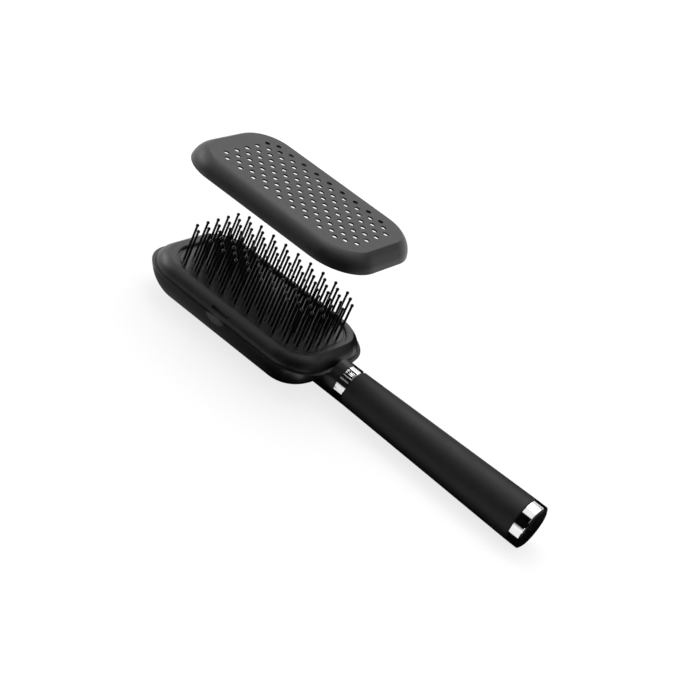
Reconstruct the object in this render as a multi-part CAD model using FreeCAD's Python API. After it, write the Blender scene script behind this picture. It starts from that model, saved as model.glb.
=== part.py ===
import FreeCAD, Part
import math
import os

os.makedirs("parts", exist_ok=True)

# A paddle brush lying on its back, in millimetres, with a perforated cover that cleans the pins as it lifts.
# X runs along the brush from the head to the handle's end, and Z along the pins.
# The origin is the middle of the flat on the head's back.

# Head outline, shared by the shell and the cover
HEAD_LENGTH = 115.0
HEAD_WIDTH = 70.0
HEAD_CORNER = 23.0

# Back shell
SHELL_DEPTH = 16.7
BACK_RADIUS = 27.0
BACK_RUN_SHARE = 0.7
RIM_WIDTH = 3.8
UPPER_POCKET_DEPTH = 5.6
LOWER_POCKET_DEPTH = 12.0
LOWER_POCKET_STEP = 9.0
NOTCH_WIDTH = 12.5
NOTCH_HEIGHT = 3.8
NOTCH_DEPTH = 1.6

# Cleaning cover, and the bead inside each long wall
COVER_HEIGHT = 8.6
COVER_EDGE_INSET = 6.4
COVER_EDGE_RADIUS = 11.4
COVER_WALL = 1.5
COVER_TOP = 0.8
COVER_LIFT = 61.0
HOLE_DIAMETER = 3.1
BEAD_LENGTH = 10.5
BEAD_HEIGHT = 1.6
BEAD_DEPTH = 0.6
BEAD_RISE = 2.8

# Top frame
FRAME_SIDE_INSET = 6.5
RECESS_DEPTH = 1.4
OPENING_INSET_X = 10.2
OPENING_INSET_Y = 9.2
OPENING_SHIFT = 1.0
OPENING_CORNER = 16.5
OPENING_EDGE = 0.6
LIP_WIDTH = 1.3
LIP_DROP = 1.5
LIP_THICKNESS = 1.0
TONGUE_DEPTH = 3.0

# Pins
FIELD_MARGIN_X = 5.5
FIELD_MARGIN_Y = 4.55
FIELD_SHIFT = 0.9
PIN_HEIGHT = 20.4
PIN_DIAMETER = 1.3
BALL_DIAMETER = 1.9
BALL_NECK = 0.8
TIP_DIAMETER = 0.9
CORNER_PULL = 1.0

# Bed, backing plate and the screws that hold them
BED_RISE = 0.1
BED_THICKNESS = 3.1
PLATE_THICKNESS = 2.0
BED_SCREW_INSET_X = 20.5
BED_SCREW_INSET_Y = 22.0
BED_SCREW_DIAMETER = 2.5
BED_SCREW_LENGTH = 9.0
BED_SCREW_HEAD_DIAMETER = 5.0
BED_SCREW_HEAD_HEIGHT = 1.2
BOSS_DIAMETER = 6.4

# Handle, measured along X from the head's end and around its own axis
NECK_ROOT_DEPTH = 26.5
NECK_LENGTH = 6.1
NECK_RING_LENGTH = 5.9
GRIP_LENGTH = 108.4
END_RING_LENGTH = 6.2
NECK_DIAMETER = 19.7
END_DIAMETER = 24.4
GRIP_THICKNESS = 2.0
GRIP_EDGE = 0.5
RING_EDGE = 0.3
TANG_DIAMETER = 11.6
TANG_LENGTH = 34.0
WEB_THICKNESS = 3.5
CORE_BORE_DIAMETER = 12.0
HANDLE_SCREW_DIAMETER = 3.8
HANDLE_SCREW_LENGTH = 22.0
HANDLE_SCREW_HEAD_DIAMETER = 7.2
HANDLE_SCREW_HEAD_HEIGHT = 2.5
END_FACE_WALL = 0.9
PLUG_FLANGE_LENGTH = 2.4
PLUG_EDGE = 0.4
PLUG_PROUD = 0.6
PLUG_SPIGOT_LENGTH = 16.0

# Clearances between pieces that fit together, and the overrun of every cut
COVER_GAP = 0.3
FIT_GAP = 0.2
BED_GAP = 0.25
PIN_GAP = 0.06
SCREW_GAP = 0.05
OVERRUN = 1.0

# Counts of the pin field, whose even rows start half a pitch nearer to the head's tip
ROW_COUNT = 11
PINS_IN_ROW = 10
PINS_IN_END_ROW = 9
FIELD_HALF_STEPS = 2 * PINS_IN_ROW - 1
PIN_SIDES = 6
HOLE_SIDES = 8
SCREW_SIDES = 8

# Corners of the head in turn, seen from above, as signs of X and Y
CORNER_SIGNS = ((1, 1), (-1, 1), (-1, -1), (1, -1))

# Pin field and heights worked out from the sizes above
HALF_LENGTH = HEAD_LENGTH / 2
HALF_WIDTH = HEAD_WIDTH / 2
HALF_OPENING_X = HALF_LENGTH - OPENING_INSET_X
HALF_OPENING_Y = HALF_WIDTH - OPENING_INSET_Y
HALF_PITCH = 2 * (HALF_OPENING_X - FIELD_MARGIN_X) / FIELD_HALF_STEPS
ROW_STEP = 2 * (HALF_OPENING_Y - FIELD_MARGIN_Y) / (ROW_COUNT - 1)
LEDGE_Z = SHELL_DEPTH
FRAME_TOP_Z = LEDGE_Z + COVER_HEIGHT - COVER_WALL
LIP_TOP_Z = FRAME_TOP_Z - LIP_DROP
LIP_FOOT_Z = LIP_TOP_Z - LIP_THICKNESS
BED_TOP_Z = LIP_TOP_Z + BED_RISE
BED_FOOT_Z = BED_TOP_Z - BED_THICKNESS
PLATE_FOOT_Z = BED_FOOT_Z - PLATE_THICKNESS
SCREW_SEAT_Z = BED_FOOT_Z - BED_SCREW_HEAD_HEIGHT - FIT_GAP
BALL_Z = BED_TOP_Z + PIN_HEIGHT
COVER_FOOT_Z = LEDGE_Z + COVER_GAP + COVER_LIFT

# Places along the handle worked out from the sizes above
AXIS_Z = END_DIAMETER / 2
NECK_ROOT = HALF_LENGTH - NECK_ROOT_DEPTH
NECK_RING_START = HALF_LENGTH + NECK_LENGTH
GRIP_START = NECK_RING_START + NECK_RING_LENGTH
GRIP_END = GRIP_START + GRIP_LENGTH
HANDLE_END = GRIP_END + END_RING_LENGTH
FLANGE_START = HANDLE_END - PLUG_FLANGE_LENGTH
WEB_START = NECK_RING_START + TANG_LENGTH + FIT_GAP
WEB_END = WEB_START + WEB_THICKNESS
TANG_BORE = TANG_DIAMETER / 2 + FIT_GAP
GRIP_BORE = NECK_DIAMETER / 2 - GRIP_THICKNESS


def vector(x, y, z):
    return FreeCAD.Vector(x, y, z)


def save(shape, node):
    shape.exportStep("parts/" + node + ".step")


def rounded_wire(half_x, half_y, corner, z):
    """Closed outline of four corner arcs and four straight runs, at one height."""
    bulge = corner * math.sqrt(0.5)
    arcs = []
    for sign_x, sign_y in CORNER_SIGNS:
        centre = vector(sign_x * (half_x - corner), sign_y * (half_y - corner), z)
        along_x = centre + vector(sign_x * corner, 0, 0)
        along_y = centre + vector(0, sign_y * corner, 0)
        middle = centre + vector(sign_x * bulge, sign_y * bulge, 0)
        arcs.append((along_x, middle, along_y) if sign_x == sign_y else (along_y, middle, along_x))
    edges = []
    for index, (first, middle, last) in enumerate(arcs):
        following = arcs[(index + 1) % len(arcs)][0]
        edges.append(Part.Arc(first, middle, last).toShape())
        edges.append(Part.LineSegment(last, following).toShape())
    return Part.Wire(edges)


def rounded_block(half_x, half_y, corner, low_z, high_z):
    face = Part.Face(rounded_wire(half_x, half_y, corner, low_z))
    return face.extrude(vector(0, 0, high_z - low_z))


def head_block(inset, low_z, high_z):
    """Straight block of the head's outline, drawn in by the inset."""
    return rounded_block(HALF_LENGTH - inset, HALF_WIDTH - inset, HEAD_CORNER - inset, low_z, high_z)


def opening_wire(grow, z):
    """Outline of the frame's opening, grown on all sides."""
    wire = rounded_wire(HALF_OPENING_X + grow, HALF_OPENING_Y + grow, OPENING_CORNER + grow, z)
    return wire.translated(vector(OPENING_SHIFT, 0, 0))


def opening_block(grow, low_z, high_z):
    face = Part.Face(opening_wire(grow, low_z))
    return face.extrude(vector(0, 0, high_z - low_z))


def arc_inset(run, rise, radius, offset, height):
    """Inset at a height on the arc that climbs from the outline to a run further in, less an offset."""
    chord = math.hypot(run, rise)
    reach = math.sqrt(radius ** 2 - (chord / 2) ** 2) / chord
    centre_inset = run / 2 + rise * reach
    centre_height = rise / 2 - run * reach
    return centre_inset - math.sqrt((radius - offset) ** 2 - (height - centre_height) ** 2)


def edge_inset(offset, height):
    """Inset of a wall that follows the cover's rounded edge, at a height above the cover's foot."""
    return arc_inset(COVER_EDGE_INSET, COVER_HEIGHT, COVER_EDGE_RADIUS, offset, height)


def rounded_form(points):
    """Form of the head's outline whose side is an arc through three (inset, height) points."""
    spots = [vector(HEAD_CORNER - inset, 0, height) for inset, height in points]
    foot = vector(0, 0, spots[0].z)
    crown = vector(0, 0, spots[-1].z)
    edges = [Part.Arc(*spots).toShape()]
    for first, last in ((spots[-1], crown), (crown, foot), (foot, spots[0])):
        edges.append(Part.LineSegment(first, last).toShape())
    profile = Part.Face(Part.Wire(edges))
    reach_x = HALF_LENGTH - HEAD_CORNER
    reach_y = HALF_WIDTH - HEAD_CORNER
    corners = [vector(sign_x * reach_x, sign_y * reach_y, 0) for sign_x, sign_y in CORNER_SIGNS]
    pieces = []
    for quarter, corner in enumerate(corners):
        face = profile.copy()
        face.rotate(vector(0, 0, 0), vector(0, 0, 1), 90 * quarter)
        face.translate(corner)
        pieces.append(face.revolve(corner, vector(0, 0, 1), 90))
        pieces.append(face.extrude(corners[quarter - 1] - corner))
    middle = Part.makeBox(2 * reach_x, 2 * reach_y, crown.z - foot.z, vector(-reach_x, -reach_y, foot.z))
    return middle.fuse(pieces).removeSplitter()


def edge_form(offset, cover_foot_z, low, high):
    """Form under the cover's rounded edge, between two heights above the cover's foot."""
    heights = (low, (low + high) / 2, high)
    return rounded_form([(edge_inset(offset, height), cover_foot_z + height) for height in heights])


def back_form():
    """Boat-shaped form from the flat on the back up to the ledge."""
    run = HEAD_CORNER * BACK_RUN_SHARE
    points = []
    for depth in (SHELL_DEPTH, SHELL_DEPTH / 2, 0):
        points.append((arc_inset(run, SHELL_DEPTH, BACK_RADIUS, 0, depth), LEDGE_Z - depth))
    return rounded_form(points)


def pill(length, height, low_y, high_y, z):
    """Round-ended bar along X, reaching across a side wall from low_y to high_y."""
    reach = (length - height) / 2
    half = height / 2
    corners = [vector(sign_x * reach, low_y, z + sign_z * half)
               for sign_x, sign_z in ((-1, -1), (1, -1), (1, 1), (-1, 1))]
    edges = [Part.LineSegment(corners[0], corners[1]).toShape(),
             Part.Arc(corners[1], vector(reach + half, low_y, z), corners[2]).toShape(),
             Part.LineSegment(corners[2], corners[3]).toShape(),
             Part.Arc(corners[3], vector(-reach - half, low_y, z), corners[0]).toShape()]
    return Part.Face(Part.Wire(edges)).extrude(vector(0, high_y - low_y, 0))


def polygon_points(sides, diameter, x, y, z):
    """Corners of a regular outline round a place, the first one repeated at the end."""
    points = []
    for side in range(sides):
        turn = 2 * math.pi * side / sides
        points.append(vector(x + diameter / 2 * math.cos(turn), y + diameter / 2 * math.sin(turn), z))
    return points + points[:1]


def polygon_post(sides, diameter, x, y, low_z, high_z):
    face = Part.Face(Part.makePolygon(polygon_points(sides, diameter, x, y, low_z)))
    return face.extrude(vector(0, 0, high_z - low_z))


def screw_post(diameter, x, y, low_z, high_z):
    """Eight-sided post for the hidden screws, their holes and their bosses."""
    return polygon_post(SCREW_SIDES, diameter, x, y, low_z, high_z)


def revolve_x(profile):
    """Solid of revolution about the handle's axis, from (x, radius) points."""
    points = [vector(x, 0, AXIS_Z + radius) for x, radius in profile]
    face = Part.Face(Part.makePolygon(points + points[:1]))
    return face.revolve(vector(0, 0, AXIS_Z), vector(1, 0, 0), 360)


def pin_places():
    """Rows of pin places, from the far side to the near side."""
    rows = []
    for row in range(ROW_COUNT):
        end_row = row in (0, ROW_COUNT - 1)
        count = PINS_IN_END_ROW if end_row else PINS_IN_ROW
        y = ((ROW_COUNT - 1) / 2 - row) * ROW_STEP
        places = []
        for index in range(count):
            half_steps = 2 * index + 1 - row % 2 - FIELD_HALF_STEPS / 2
            corner = end_row and index == count - 1
            pull = math.copysign(CORNER_PULL, y) if corner else 0
            places.append((half_steps * HALF_PITCH + OPENING_SHIFT + FIELD_SHIFT, y - pull))
        rows.append(places)
    return rows


def screw_places():
    half_x = HALF_LENGTH - BED_SCREW_INSET_X
    half_y = HALF_WIDTH - BED_SCREW_INSET_Y
    return [(sign_x * half_x, sign_y * half_y) for sign_x in (-1, 1) for sign_y in (-1, 1)]


def finger_notch(sign_y):
    """Lens-shaped scoop in the rim, below the recess for the cover's bead."""
    radius = ((NOTCH_WIDTH / 2) ** 2 + NOTCH_DEPTH ** 2) / (2 * NOTCH_DEPTH)
    centre_y = sign_y * (HALF_WIDTH - NOTCH_DEPTH + radius)
    return Part.makeCylinder(radius, NOTCH_HEIGHT + OVERRUN, vector(0, centre_y, LEDGE_Z - NOTCH_HEIGHT))


def make_back_shell():
    neck_radius = NECK_DIAMETER / 2
    neck = revolve_x(((NECK_ROOT, 0), (NECK_ROOT, neck_radius), (NECK_RING_START, neck_radius),
                      (NECK_RING_START, 0)))
    cover_room = head_block(-COVER_GAP, LEDGE_Z, LEDGE_Z + COVER_HEIGHT + END_DIAMETER)
    shell = back_form().fuse(neck.cut(cover_room))
    upper_floor = LEDGE_Z - UPPER_POCKET_DEPTH
    lower_floor = LEDGE_Z - LOWER_POCKET_DEPTH
    shell = shell.cut(head_block(RIM_WIDTH, upper_floor, LEDGE_Z + OVERRUN))
    shell = shell.cut(head_block(RIM_WIDTH + LOWER_POCKET_STEP, lower_floor, LEDGE_Z + OVERRUN))
    boss_foot = lower_floor - OVERRUN
    additions = [screw_post(BOSS_DIAMETER, x, y, boss_foot, PLATE_FOOT_Z) for x, y in screw_places()]
    tang_end = NECK_RING_START + TANG_LENGTH
    tang_start = NECK_RING_START - OVERRUN
    tang_radius = TANG_DIAMETER / 2
    additions.append(revolve_x(((tang_start, 0), (tang_start, tang_radius), (tang_end, tang_radius),
                                (tang_end, 0))))
    pilot_diameter = BED_SCREW_DIAMETER + 2 * SCREW_GAP
    pilot_floor = SCREW_SEAT_Z - BED_SCREW_LENGTH - OVERRUN
    cuts = [screw_post(pilot_diameter, x, y, pilot_floor, SCREW_SEAT_Z) for x, y in screw_places()]
    tang_pilot_start = WEB_END - HANDLE_SCREW_LENGTH - OVERRUN
    tang_pilot_radius = HANDLE_SCREW_DIAMETER / 2 + SCREW_GAP
    cuts.append(revolve_x(((tang_pilot_start, 0), (tang_pilot_start, tang_pilot_radius),
                           (WEB_END, tang_pilot_radius), (WEB_END, 0))))
    return shell.fuse(additions).cut(cuts + [finger_notch(1), finger_notch(-1)]).removeSplitter()


def make_top_frame():
    frame = edge_form(COVER_WALL + COVER_GAP, LEDGE_Z + COVER_GAP, -COVER_GAP,
                      COVER_HEIGHT - COVER_WALL - COVER_GAP)
    flare_rims = []
    for grow in (0, OPENING_EDGE + OVERRUN):
        flare_rims.append(opening_wire(grow, FRAME_TOP_Z - OPENING_EDGE + grow))
    frame = frame.cut([head_block(FRAME_SIDE_INSET, LEDGE_Z, LIP_FOOT_Z),
                       opening_block(-LIP_WIDTH, LIP_FOOT_Z - OVERRUN, LIP_TOP_Z + OVERRUN),
                       opening_block(0, LIP_TOP_Z, FRAME_TOP_Z + OVERRUN),
                       Part.makeLoft(flare_rims, True, True)])
    tongue = head_block(RIM_WIDTH + FIT_GAP, LEDGE_Z - TONGUE_DEPTH, LEDGE_Z)
    tongue = tongue.cut(head_block(FRAME_SIDE_INSET, LEDGE_Z - TONGUE_DEPTH, LEDGE_Z))
    recess_floor = HALF_WIDTH - edge_inset(COVER_WALL + COVER_GAP, BEAD_RISE) - RECESS_DEPTH
    recesses = []
    for sign_y in (1, -1):
        recesses.append(pill(BEAD_LENGTH + 2 * COVER_GAP, BEAD_HEIGHT + 2 * COVER_GAP, sign_y * recess_floor,
                             sign_y * HALF_WIDTH, LEDGE_Z + COVER_GAP + BEAD_RISE))
    return frame.fuse(tongue).cut(recesses).removeSplitter()


def make_cover():
    outside = edge_form(0, COVER_FOOT_Z, 0, COVER_HEIGHT)
    cover = outside.cut(edge_form(COVER_WALL, COVER_FOOT_Z, 0, COVER_HEIGHT - COVER_TOP))
    bead_tip = HALF_WIDTH - edge_inset(COVER_WALL, BEAD_RISE) - BEAD_DEPTH
    beads = []
    for sign_y in (1, -1):
        bead = pill(BEAD_LENGTH, BEAD_HEIGHT, sign_y * bead_tip, sign_y * HALF_WIDTH,
                    COVER_FOOT_Z + BEAD_RISE)
        beads.append(bead.common(outside))
    hole_top = COVER_FOOT_Z + COVER_HEIGHT + OVERRUN
    hole_foot = COVER_FOOT_Z + COVER_HEIGHT - COVER_TOP - OVERRUN
    holes = []
    for places in pin_places():
        for x, y in places:
            holes.append(polygon_post(HOLE_SIDES, HOLE_DIAMETER, x, y, hole_foot, hole_top))
    return cover.fuse(beads).cut(Part.makeCompound(holes)).removeSplitter()


def make_bed():
    foot = head_block(FRAME_SIDE_INSET + BED_GAP, BED_FOOT_Z, LIP_FOOT_Z - BED_GAP)
    bed = foot.fuse(opening_block(-LIP_WIDTH - BED_GAP, BED_FOOT_Z, BED_TOP_Z)).removeSplitter()
    socket = PIN_DIAMETER + 2 * PIN_GAP
    sockets = []
    for places in pin_places():
        for x, y in places:
            sockets.append(polygon_post(PIN_SIDES, socket, x, y, BED_FOOT_Z - OVERRUN, BED_TOP_Z + OVERRUN))
    return bed.cut(Part.makeCompound(sockets))


def make_pin(x, y):
    """One pin with flat sides, from its foot on the plate to its ball tip."""
    levels = ((PIN_DIAMETER, BED_FOOT_Z), (PIN_DIAMETER, BALL_Z - BALL_NECK), (BALL_DIAMETER, BALL_Z),
              (TIP_DIAMETER, BALL_Z + BALL_NECK))
    rings = [polygon_points(PIN_SIDES, diameter, x, y, z) for diameter, z in levels]
    faces = [Part.Face(Part.makePolygon(rings[0])), Part.Face(Part.makePolygon(rings[-1]))]
    for lower, upper in zip(rings, rings[1:]):
        for side in range(PIN_SIDES):
            outline = (lower[side], lower[side + 1], upper[side + 1], upper[side], lower[side])
            faces.append(Part.Face(Part.makePolygon(outline)))
    return Part.makeSolid(Part.makeShell(faces))


def make_plate():
    plate = head_block(FRAME_SIDE_INSET + BED_GAP, PLATE_FOOT_Z, BED_FOOT_Z)
    through = BED_SCREW_DIAMETER + 2 * FIT_GAP
    counterbore = BED_SCREW_HEAD_DIAMETER + 2 * FIT_GAP
    holes = []
    for x, y in screw_places():
        holes.append(screw_post(through, x, y, PLATE_FOOT_Z - OVERRUN, BED_FOOT_Z))
        holes.append(screw_post(counterbore, x, y, SCREW_SEAT_Z, BED_FOOT_Z + OVERRUN))
    return plate.cut(holes)


def make_bed_screw(x, y):
    head = screw_post(BED_SCREW_HEAD_DIAMETER, x, y, SCREW_SEAT_Z, SCREW_SEAT_Z + BED_SCREW_HEAD_HEIGHT)
    return head.fuse(screw_post(BED_SCREW_DIAMETER, x, y, SCREW_SEAT_Z - BED_SCREW_LENGTH, SCREW_SEAT_Z))


def make_neck_ring():
    radius = NECK_DIAMETER / 2
    return revolve_x(((NECK_RING_START, TANG_BORE), (NECK_RING_START, radius - RING_EDGE),
                      (NECK_RING_START + RING_EDGE, radius), (GRIP_START - RING_EDGE, radius),
                      (GRIP_START, radius - RING_EDGE), (GRIP_START, TANG_BORE)))


def make_grip():
    start_radius = NECK_DIAMETER / 2
    end_radius = END_DIAMETER / 2
    return revolve_x(((GRIP_START, GRIP_BORE), (GRIP_START, start_radius - GRIP_EDGE),
                      (GRIP_START + GRIP_EDGE, start_radius), (GRIP_END - GRIP_EDGE, end_radius),
                      (GRIP_END, end_radius - GRIP_EDGE), (GRIP_END, GRIP_BORE)))


def make_core():
    outer_radius = GRIP_BORE - FIT_GAP
    screw_bore = HANDLE_SCREW_DIAMETER / 2 + FIT_GAP
    core_bore = CORE_BORE_DIAMETER / 2
    return revolve_x(((GRIP_START, TANG_BORE), (GRIP_START, outer_radius), (GRIP_END, outer_radius),
                      (GRIP_END, core_bore), (WEB_END, core_bore), (WEB_END, screw_bore),
                      (WEB_START, screw_bore), (WEB_START, TANG_BORE)))


def make_handle_screw():
    tip = WEB_END - HANDLE_SCREW_LENGTH
    head_end = WEB_END + HANDLE_SCREW_HEAD_HEIGHT
    shank_radius = HANDLE_SCREW_DIAMETER / 2
    head_radius = HANDLE_SCREW_HEAD_DIAMETER / 2
    return revolve_x(((tip, 0), (tip, shank_radius), (WEB_END, shank_radius), (WEB_END, head_radius),
                      (head_end, head_radius), (head_end, 0)))


def make_end_ring():
    radius = END_DIAMETER / 2
    core_bore = CORE_BORE_DIAMETER / 2
    return revolve_x(((GRIP_END, core_bore), (GRIP_END, radius - RING_EDGE), (GRIP_END + RING_EDGE, radius),
                      (HANDLE_END - RING_EDGE, radius), (HANDLE_END, radius - RING_EDGE),
                      (HANDLE_END, radius - END_FACE_WALL), (FLANGE_START, radius - END_FACE_WALL),
                      (FLANGE_START, core_bore)))


def make_end_plug():
    face = HANDLE_END + PLUG_PROUD
    foot = FLANGE_START - PLUG_SPIGOT_LENGTH
    flange_radius = END_DIAMETER / 2 - END_FACE_WALL - FIT_GAP
    spigot_radius = CORE_BORE_DIAMETER / 2 - FIT_GAP
    return revolve_x(((foot, 0), (foot, spigot_radius), (FLANGE_START, spigot_radius),
                      (FLANGE_START, flange_radius), (face - PLUG_EDGE, flange_radius),
                      (face, flange_radius - PLUG_EDGE), (face, 0)))


save(make_back_shell(), "back_shell")
save(make_top_frame(), "top_frame")
save(make_cover(), "cleaning_cover")
save(make_bed(), "pin_bed")
save(make_plate(), "backing_plate")
for row, places in enumerate(pin_places(), 1):
    save(Part.makeCompound([make_pin(x, y) for x, y in places]), "pin_row_%02d" % row)
save(Part.makeCompound([make_bed_screw(x, y) for x, y in screw_places()]), "bed_screws")
save(make_neck_ring(), "neck_ring")
save(make_grip(), "grip_sleeve")
save(make_core(), "handle_core")
save(make_handle_screw(), "handle_screw")
save(make_end_ring(), "end_ring")
save(make_end_plug(), "end_plug")
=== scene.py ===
import math

import bmesh
import bpy
from mathutils import Euler, Matrix, Vector


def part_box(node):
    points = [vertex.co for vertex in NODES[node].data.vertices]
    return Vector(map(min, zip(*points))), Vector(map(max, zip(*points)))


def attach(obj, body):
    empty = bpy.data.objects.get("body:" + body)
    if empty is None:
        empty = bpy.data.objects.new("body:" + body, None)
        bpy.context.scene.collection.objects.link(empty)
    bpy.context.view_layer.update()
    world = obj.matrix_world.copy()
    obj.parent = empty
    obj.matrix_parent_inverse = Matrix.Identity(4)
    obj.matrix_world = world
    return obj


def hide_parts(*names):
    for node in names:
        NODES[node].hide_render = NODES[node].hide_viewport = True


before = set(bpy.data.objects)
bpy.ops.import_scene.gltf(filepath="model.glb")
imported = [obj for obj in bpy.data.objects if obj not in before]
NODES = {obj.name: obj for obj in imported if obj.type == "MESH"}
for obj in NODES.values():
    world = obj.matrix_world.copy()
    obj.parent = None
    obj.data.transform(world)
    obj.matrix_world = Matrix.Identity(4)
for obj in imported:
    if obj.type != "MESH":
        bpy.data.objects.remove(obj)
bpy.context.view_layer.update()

SCENE = bpy.context.scene
MM = 0.001
WHITE = (1, 1, 1, 1)

# Pins in millimetres, as in the CAD model, but round
PIN_RADIUS = 0.65
BALL_RADIUS = 0.95
PIN_SIDES = 14
BALL_RINGS = 7

# Faces with painted shade (the cover's holes) and painted light (the frame's recesses): places in
# millimetres, and limits of their normals
COVER_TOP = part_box("cleaning_cover")[1].z
HOLE_DEPTH = 1.2
HOLE_NORMAL_Z = 0.5
UNDERSIDE_NORMAL_Z = -0.9
RECESS_HALF_LENGTH = 8
RECESS_LOW_Z = 17
RECESS_INNER_Y = 29
RECESS_FLOOR_NORMAL_Y = 0.95
RECESS_WALL_NORMAL_Y = 0.05

# Surfaces: the part of a noise's range that counts, its details, and the tint of every grey
NOISE_SPAN = (0.3, 0.7)
CLOUD_DETAIL = 3
GRAIN_DETAIL = 2
GRAIN_HEIGHT_SHARE = 0.25
COOL_TINT = 1.02
CARD_ROUGHNESS = 0.9

# Floor in metres: it glows less near the brush, where it takes light and shadow
FLOOR_HALF = 6.0
FLOOR_Z = -0.0004
FLOOR_GREY = 0.28
FLOOR_FADE = (0.15, 0.60)
FLOOR_GLOW = (0.78, 1.0)

# Flags: cards just over the floor that paint reflections, and the stretch along the brush where
# the fading ones fade
FLAG_Z = FLOOR_Z / 2
FLAG_GREY = 0.004
FLAG_FADE = (-0.06, 0.04)
HANDLE_WALL_Y = 0.060
HANDLE_WALL_TOP = 0.050

# World: the white sweep's direction, where it fades out, and the strengths of room and fill
SWEEP = Vector((-0.45, 0.57, 0.69)).normalized()
SWEEP_EDGE = (0.15, 0.5)
ROOM_STRENGTHS = (0.22, 1.0)
FILL_STRENGTHS = (0.6, 1.0)

# Camera fitted to the photo's grid of pins and holes: millimetres, metres and degrees
LENS = 81.9
SENSOR = 36
CAMERA_NEAR = 0.01
CAMERA_PLACE = (0.33612, -0.63482, 0.41926)
CAMERA_TURN = (58.02, -22.045, 36.793)

# Point that the lamps face
MIDDLE = Vector((0.06, 0, 0.03))


def link(name, data):
    thing = bpy.data.objects.new(name, data)
    SCENE.collection.objects.link(thing)
    return thing


# Shader nodes


def new_material(name):
    """Material with its node tree and its shader."""
    material = bpy.data.materials.new(name)
    material.use_nodes = True
    tree = material.node_tree
    return material, tree, tree.nodes["Principled BSDF"]


def add_coords(tree, space):
    return tree.nodes.new("ShaderNodeTexCoord").outputs[space]


def add_noise(tree, coords, size, detail):
    """Noise with spots of about the given size in metres."""
    noise = tree.nodes.new("ShaderNodeTexNoise")
    noise.inputs["Scale"].default_value = 1 / size
    noise.inputs["Detail"].default_value = detail
    tree.links.new(coords, noise.inputs["Vector"])
    return noise.outputs["Fac"]


def add_ramp(tree, source, colours):
    """Colour that goes from one to the other over the middle of a noise's range."""
    ramp = tree.nodes.new("ShaderNodeValToRGB")
    for stop, position, colour in zip(ramp.color_ramp.elements, NOISE_SPAN, colours):
        stop.position = position
        stop.color = (*colour, 1)
    tree.links.new(source, ramp.inputs["Fac"])
    return ramp.outputs["Color"]


def add_range(tree, source, span, results, smooth=False):
    """Value that goes from one result to the other as the source crosses the span."""
    scaled = tree.nodes.new("ShaderNodeMapRange")
    if smooth:
        scaled.interpolation_type = "SMOOTHSTEP"
    scaled.inputs["From Min"].default_value, scaled.inputs["From Max"].default_value = span
    scaled.inputs["To Min"].default_value, scaled.inputs["To Max"].default_value = results
    tree.links.new(source, scaled.inputs["Value"])
    return scaled.outputs["Result"]


def add_math(tree, operation, first, second):
    result = tree.nodes.new("ShaderNodeMath")
    result.operation = operation
    tree.links.new(first, result.inputs[0])
    tree.links.new(second, result.inputs[1])
    return result.outputs[0]


def add_seen(tree):
    """One for a ray from the camera, off a glossy surface or through a clear one, else nought."""
    path = tree.nodes.new("ShaderNodeLightPath")
    seen = path.outputs["Is Camera Ray"]
    for ray in ("Is Glossy Ray", "Is Transmission Ray"):
        seen = add_math(tree, "MAXIMUM", seen, path.outputs[ray])
    return seen


# Materials of the brush


def grey(level):
    return (level, level, level * COOL_TINT)


def make_material(name, greys, roughness, cloud, grain, bump, metallic=0.0, specular=0.5):
    """Moulded or plated surface: clouds in grey and roughness, and a grain in its bump.

    Clouds and grain have spots of the given sizes in millimetres.
    """
    material, tree, shader = new_material(name)
    shader.inputs["Metallic"].default_value = metallic
    shader.inputs["Specular IOR Level"].default_value = specular
    coords = add_coords(tree, "Object")
    clouds = add_noise(tree, coords, cloud * MM, CLOUD_DETAIL)
    grains = add_noise(tree, coords, grain * MM, GRAIN_DETAIL)
    colour = add_ramp(tree, clouds, [grey(level) for level in greys])
    tree.links.new(colour, shader.inputs["Base Color"])
    tree.links.new(add_range(tree, clouds, NOISE_SPAN, roughness), shader.inputs["Roughness"])
    bumps = tree.nodes.new("ShaderNodeBump")
    bumps.inputs["Strength"].default_value = bump
    bumps.inputs["Distance"].default_value = grain * MM * GRAIN_HEIGHT_SHARE
    tree.links.new(grains, bumps.inputs["Height"])
    tree.links.new(bumps.outputs["Normal"], shader.inputs["Normal"])
    return material


SHELL = make_material(
    "shell_plastic", (0.004, 0.006), (0.33, 0.41), cloud=12, grain=0.4, bump=0.12, specular=0.55)
COVER = make_material(
    "cover_plastic", (0.009, 0.012), (0.38, 0.46), cloud=12, grain=0.4, bump=0.14)
BED = make_material(
    "bed_rubber", (0.010, 0.014), (0.26, 0.34), cloud=6, grain=0.6, bump=0.08, specular=0.55)
PIN = make_material(
    "pin_nylon", (0.002, 0.004), (0.05, 0.09), cloud=3, grain=0.3, bump=0.02, specular=0.55)
GRIP = make_material(
    "grip_soft_touch", (0.010, 0.014), (0.54, 0.62), cloud=10, grain=0.3, bump=0.16, specular=0.3)
CHROME = make_material(
    "ring_chrome", (0.80, 0.86), (0.05, 0.09), cloud=4, grain=0.8, bump=0.01, metallic=1.0)
PLUG = make_material(
    "plug_satin", (0.003, 0.005), (0.22, 0.30), cloud=6, grain=0.6, bump=0.04, specular=0.4)
INNER = make_material(
    "inner_plastic", (0.03, 0.05), (0.50, 0.60), cloud=8, grain=0.5, bump=0.15)
# Painted shade: darker and duller than the cover, for the walls of its holes and its underside
HOLE_SHADE = make_material(
    "hole_walls_painted_shade", (0.002, 0.004), (0.60, 0.70), cloud=3, grain=0.4, bump=0.10, specular=0.1)
# Painted light: lighter than the frame, for the floor and walls inside its recesses, where little
# light reaches
RECESS_PAINTED_LIGHT = make_material(
    "recess_painted_light", (0.016, 0.022), (0.60, 0.70), cloud=4, grain=0.4, bump=0.16)
STEEL = make_material(
    "screw_steel", (0.50, 0.60), (0.30, 0.42), cloud=2, grain=0.2, bump=0.10, metallic=1.0)

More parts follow.
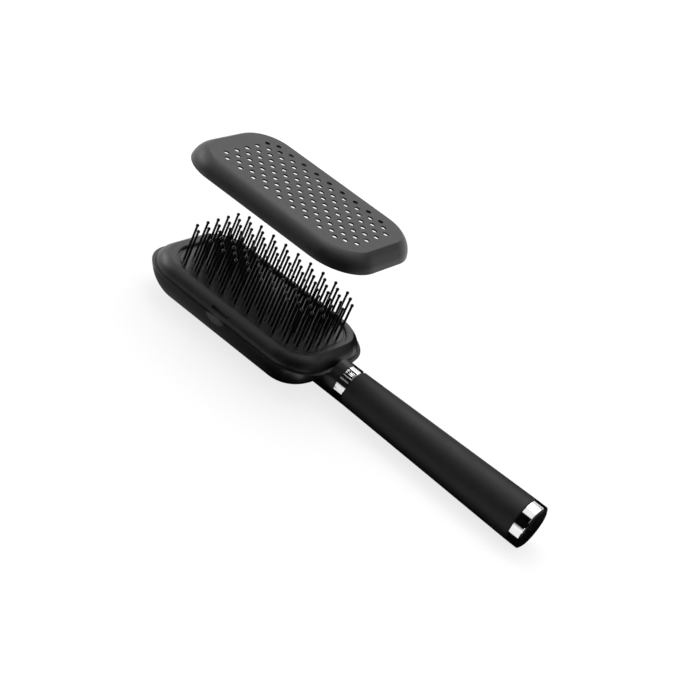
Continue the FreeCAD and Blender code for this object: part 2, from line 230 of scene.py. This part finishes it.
# The pin rows aren't listed: whatever isn't takes the pins' material
NODE_MATERIALS = {
    "back_shell": SHELL,
    "top_frame": SHELL,
    "cleaning_cover": COVER,
    "pin_bed": BED,
    "backing_plate": INNER,
    "bed_screws": STEEL,
    "neck_ring": CHROME,
    "grip_sleeve": GRIP,
    "handle_core": INNER,
    "handle_screw": STEEL,
    "end_ring": CHROME,
    "end_plug": PLUG,
}


def dress_node(name, node):
    node.data.materials.clear()
    node.data.materials.append(NODE_MATERIALS.get(name, PIN))
    node.data.shade_smooth()


def dress_faces(node, material, chosen):
    """Second material on the faces that the given test picks by middle and normal."""
    node.data.materials.append(material)
    for face in node.data.polygons:
        if chosen(face.center, face.normal):
            face.material_index = 1


def in_hole(middle, normal):
    """The cover's underside, and the walls of its holes: faces that get painted shade."""
    near_top = middle.z > COVER_TOP - HOLE_DEPTH * MM
    return normal.z < UNDERSIDE_NORMAL_Z or (near_top and normal.z < HOLE_NORMAL_Z)


def in_recess(middle, normal):
    """Floor and walls of the recess in each long side of the frame, which get painted light."""
    inside = (abs(middle.x) < RECESS_HALF_LENGTH * MM and middle.z > RECESS_LOW_Z * MM
              and abs(middle.y) > RECESS_INNER_Y * MM)
    on_floor = abs(normal.y) > RECESS_FLOOR_NORMAL_Y
    on_wall = abs(normal.y) < RECESS_WALL_NORMAL_Y
    return inside and (on_floor or on_wall)


for node_name, node_object in NODES.items():
    dress_node(node_name, node_object)
# Painted shade on the cover's hole walls and underside
dress_faces(NODES["cleaning_cover"], HOLE_SHADE, in_hole)
# Painted light inside the frame's recesses
dress_faces(NODES["top_frame"], RECESS_PAINTED_LIGHT, in_recess)


# Round pins


def pin_profile(foot, tip):
    """Radii and heights of a round pin with a ball on its end, in metres."""
    ball = BALL_RADIUS * MM
    ball_middle = tip - ball
    neck_turn = math.acos(PIN_RADIUS / BALL_RADIUS)
    profile = [(PIN_RADIUS * MM, foot)]
    for ring in range(BALL_RINGS):
        turn = -neck_turn + (neck_turn + math.pi / 2) * ring / BALL_RINGS
        profile.append((ball * math.cos(turn), ball_middle + ball * math.sin(turn)))
    return profile


def add_ring(build, x, y, radius, height):
    ring = []
    for side in range(PIN_SIDES):
        turn = 2 * math.pi * side / PIN_SIDES
        place = (x + radius * math.cos(turn), y + radius * math.sin(turn), height)
        ring.append(build.verts.new(place))
    return ring


def add_pin(build, x, y, foot, tip):
    rings = [add_ring(build, x, y, radius, height) for radius, height in pin_profile(foot, tip)]
    sides = [(side, (side + 1) % PIN_SIDES) for side in range(PIN_SIDES)]
    for lower, upper in zip(rings, rings[1:]):
        for side, following in sides:
            build.faces.new((lower[side], lower[following], upper[following], upper[side]))
    crown = build.verts.new((x, y, tip))
    for side, following in sides:
        build.faces.new((rings[-1][side], rings[-1][following], crown))
    build.faces.new(tuple(reversed(rings[0])))


def pin_centres(node):
    """Middles of a row's pins, found from the gaps between its points along the row."""
    gap = 2 * BALL_RADIUS * MM
    points = sorted((vertex.co.x, vertex.co.y) for vertex in node.data.vertices)
    groups = [[points[0]]]
    for point in points[1:]:
        if point[0] - groups[-1][-1][0] > gap:
            groups.append([])
        groups[-1].append(point)
    centres = []
    for group in groups:
        xs, ys = zip(*group)
        centres.append(((min(xs) + max(xs)) / 2, (min(ys) + max(ys)) / 2))
    return centres


for row_name in sorted(name for name in NODES if name.startswith("pin_row_")):
    low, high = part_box(row_name)
    build = bmesh.new()
    for x, y in pin_centres(NODES[row_name]):
        add_pin(build, x, y, low.z, high.z)
    mesh = bpy.data.meshes.new("round_" + row_name)
    build.to_mesh(mesh)
    build.free()
    mesh.shade_smooth()
    mesh.materials.append(PIN)
    pins = link("round_" + row_name, mesh)
    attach(pins, "brush")
    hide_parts(row_name)


# Floor and flags


def add_card(name, corners, material):
    mesh = bpy.data.meshes.new(name)
    mesh.from_pydata(corners, [], [(0, 1, 2, 3)])
    mesh.materials.append(material)
    card = link(name, mesh)
    return card


def new_card_material(name, level):
    """Matt grey with a white glow, whose strength the caller links."""
    material, tree, shader = new_material(name)
    shader.inputs["Base Color"].default_value = (level, level, level, 1)
    shader.inputs["Roughness"].default_value = CARD_ROUGHNESS
    shader.inputs["Specular IOR Level"].default_value = 0.0
    shader.inputs["Emission Color"].default_value = WHITE
    return material, tree, shader.inputs["Emission Strength"]


def make_floor_material():
    """Grey floor that is seen as white and keeps a soft shadow."""
    material, tree, glow = new_card_material("floor_white", FLOOR_GREY)
    distance = tree.nodes.new("ShaderNodeVectorMath")
    distance.operation = "LENGTH"
    tree.links.new(add_coords(tree, "Object"), distance.inputs[0])
    away = add_range(tree, distance.outputs["Value"], FLOOR_FADE, FLOOR_GLOW, smooth=True)
    tree.links.new(add_math(tree, "MULTIPLY", away, add_seen(tree)), glow)
    return material


def make_flag_material(name, strengths):
    """Black card with a glow that fades along the brush, for painted reflections."""
    material, tree, glow = new_card_material(name, FLAG_GREY)
    axes = tree.nodes.new("ShaderNodeSeparateXYZ")
    tree.links.new(add_coords(tree, "Object"), axes.inputs["Vector"])
    tree.links.new(add_range(tree, axes.outputs["X"], FLAG_FADE, strengths), glow)
    return material


def level_corners(low_x, high_x, low_y, high_y, z=FLAG_Z):
    return [(low_x, low_y, z), (high_x, low_y, z), (high_x, high_y, z), (low_x, high_y, z)]


def upright_corners(start, end, low_z, high_z):
    """Corners of an upright card over the line between two points on the floor."""
    return [(*start, low_z), (*end, low_z), (*end, high_z), (*start, high_z)]


def handle_wall(low_x, high_x, low_z):
    """Corners of an upright card behind a stretch of the handle."""
    start, end = (low_x, HANDLE_WALL_Y), (high_x, HANDLE_WALL_Y)
    return upright_corners(start, end, low_z, HANDLE_WALL_TOP)


FLAG_BLACK = make_flag_material("flag_black", (0.004, 0))
FLAG_FADING = make_flag_material("flag_fading", (0.22, 0))


def add_flag(name, corners, material=FLAG_BLACK):
    """Dark card that only reflections see: a painted dark reflection that casts no shadow and
    blocks no light.
    """
    flag = add_card(name, corners, material)
    flag.visible_camera = False
    flag.visible_diffuse = False
    flag.visible_shadow = False
    flag.visible_transmission = False


add_card(
    "floor", level_corners(-FLOOR_HALF, FLOOR_HALF, -FLOOR_HALF, FLOOR_HALF, FLOOR_Z),
    make_floor_material())

# On the floor, where the head, the cover and the handle mirror it: painted shade of the floor
# under and near the brush, seen only in reflections
add_flag("head_floor_flag", level_corners(-0.062, 0.050, -0.050, 0.045), FLAG_FADING)
add_flag("cover_floor_flag", level_corners(-0.14, 0.015, -0.23, -0.11), FLAG_FADING)
add_flag("handle_floor_flag", level_corners(0.050, 0.215, -0.021, 0.058))

# Close behind the handle, for the painted dark reflections that stripe its rings
add_flag("neck_far_flag", handle_wall(0.036, 0.062, low_z=0))
add_flag("grip_far_flag", handle_wall(0.062, 0.140, low_z=0.024))
add_flag("end_far_flag", handle_wall(0.140, 0.215, low_z=0))

# Far behind and high up, for painted dark reflections on the tops and right ends of cover and
# frame
add_flag("far_high_flag", upright_corners((-0.02, 0.78), (0.30, 0.78), 0.45, 0.85))
add_flag("right_far_flag", upright_corners((0.62, 0.48), (0.28, 0.76), 0.42, 0.76))

# In front, for painted dark reflections on the near walls of cover, head and handle
add_flag("near_low_flag", upright_corners((-0.22, -0.50), (0.42, -0.50), 0.05, 0.34))
add_flag("near_right_flag", upright_corners((0.20, -0.45), (0.52, -0.05), 0, 0.42))
add_flag("near_grip_floor_flag", level_corners(0.075, 0.135, -0.55, -0.06))
add_flag("near_right_floor_flag", level_corners(0.185, 0.60, -0.55, -0.06))
add_flag("corner_floor_flag", level_corners(0.050, 0.056, -0.034, -0.021))
add_flag("near_top_flag", level_corners(-0.20, 0.15, -0.75, -0.25, z=0.5))


# World, lamps and camera


def make_world():
    """White sweep overhead and behind the brush, and a dim room in front of it.

    The camera itself sees white everywhere, and what only lights the brush is weaker.
    """
    world = bpy.data.worlds.new("studio")
    world.use_nodes = True
    tree = world.node_tree
    background = tree.nodes["Background"]
    background.inputs["Color"].default_value = WHITE
    toward = tree.nodes.new("ShaderNodeVectorMath")
    toward.operation = "DOT_PRODUCT"
    toward.inputs[1].default_value = SWEEP
    tree.links.new(add_coords(tree, "Generated"), toward.inputs[0])
    room = add_range(tree, toward.outputs["Value"], SWEEP_EDGE, ROOM_STRENGTHS, smooth=True)
    path = tree.nodes.new("ShaderNodeLightPath")
    behind = add_math(tree, "MAXIMUM", room, path.outputs["Is Camera Ray"])
    fill = add_range(tree, add_seen(tree), (0, 1), FILL_STRENGTHS)
    level = add_math(tree, "MULTIPLY", behind, fill)
    tree.links.new(level, background.inputs["Strength"])
    return world


def add_panel(name, place, size, power, mirrored):
    """Soft rectangular lamp that faces the brush, seen in reflections or not."""
    lamp = bpy.data.lights.new(name, "AREA")
    lamp.shape = "RECTANGLE"
    lamp.size, lamp.size_y = size
    lamp.energy = power
    holder = link(name, lamp)
    holder.location = place
    holder.rotation_euler = (MIDDLE - Vector(place)).to_track_quat("-Z", "Y").to_euler()
    holder.visible_glossy = mirrored


def add_camera():
    camera = bpy.data.cameras.new("camera")
    camera.lens = LENS
    camera.sensor_width = SENSOR
    camera.clip_start = CAMERA_NEAR
    holder = link("camera", camera)
    turn = Euler([math.radians(angle) for angle in CAMERA_TURN]).to_matrix()
    holder.matrix_world = Matrix.Translation(CAMERA_PLACE) @ turn.to_4x4()
    return holder


SCENE.world = make_world()
add_panel("top_panel", (-0.25, 0.35, 1.05), size=(0.9, 0.7), power=6, mirrored=True)
add_panel("left_panel", (-0.95, -0.15, 0.42), size=(0.7, 0.36), power=2, mirrored=True)
add_panel("near_panel", (-0.15, -0.9, 0.55), size=(0.5, 0.2), power=0.8, mirrored=False)
add_panel("right_panel", (0.9, -0.15, 0.35), size=(0.3, 0.3), power=1, mirrored=False)
SCENE.camera = add_camera()
SCENE.view_settings.view_transform = "Standard"
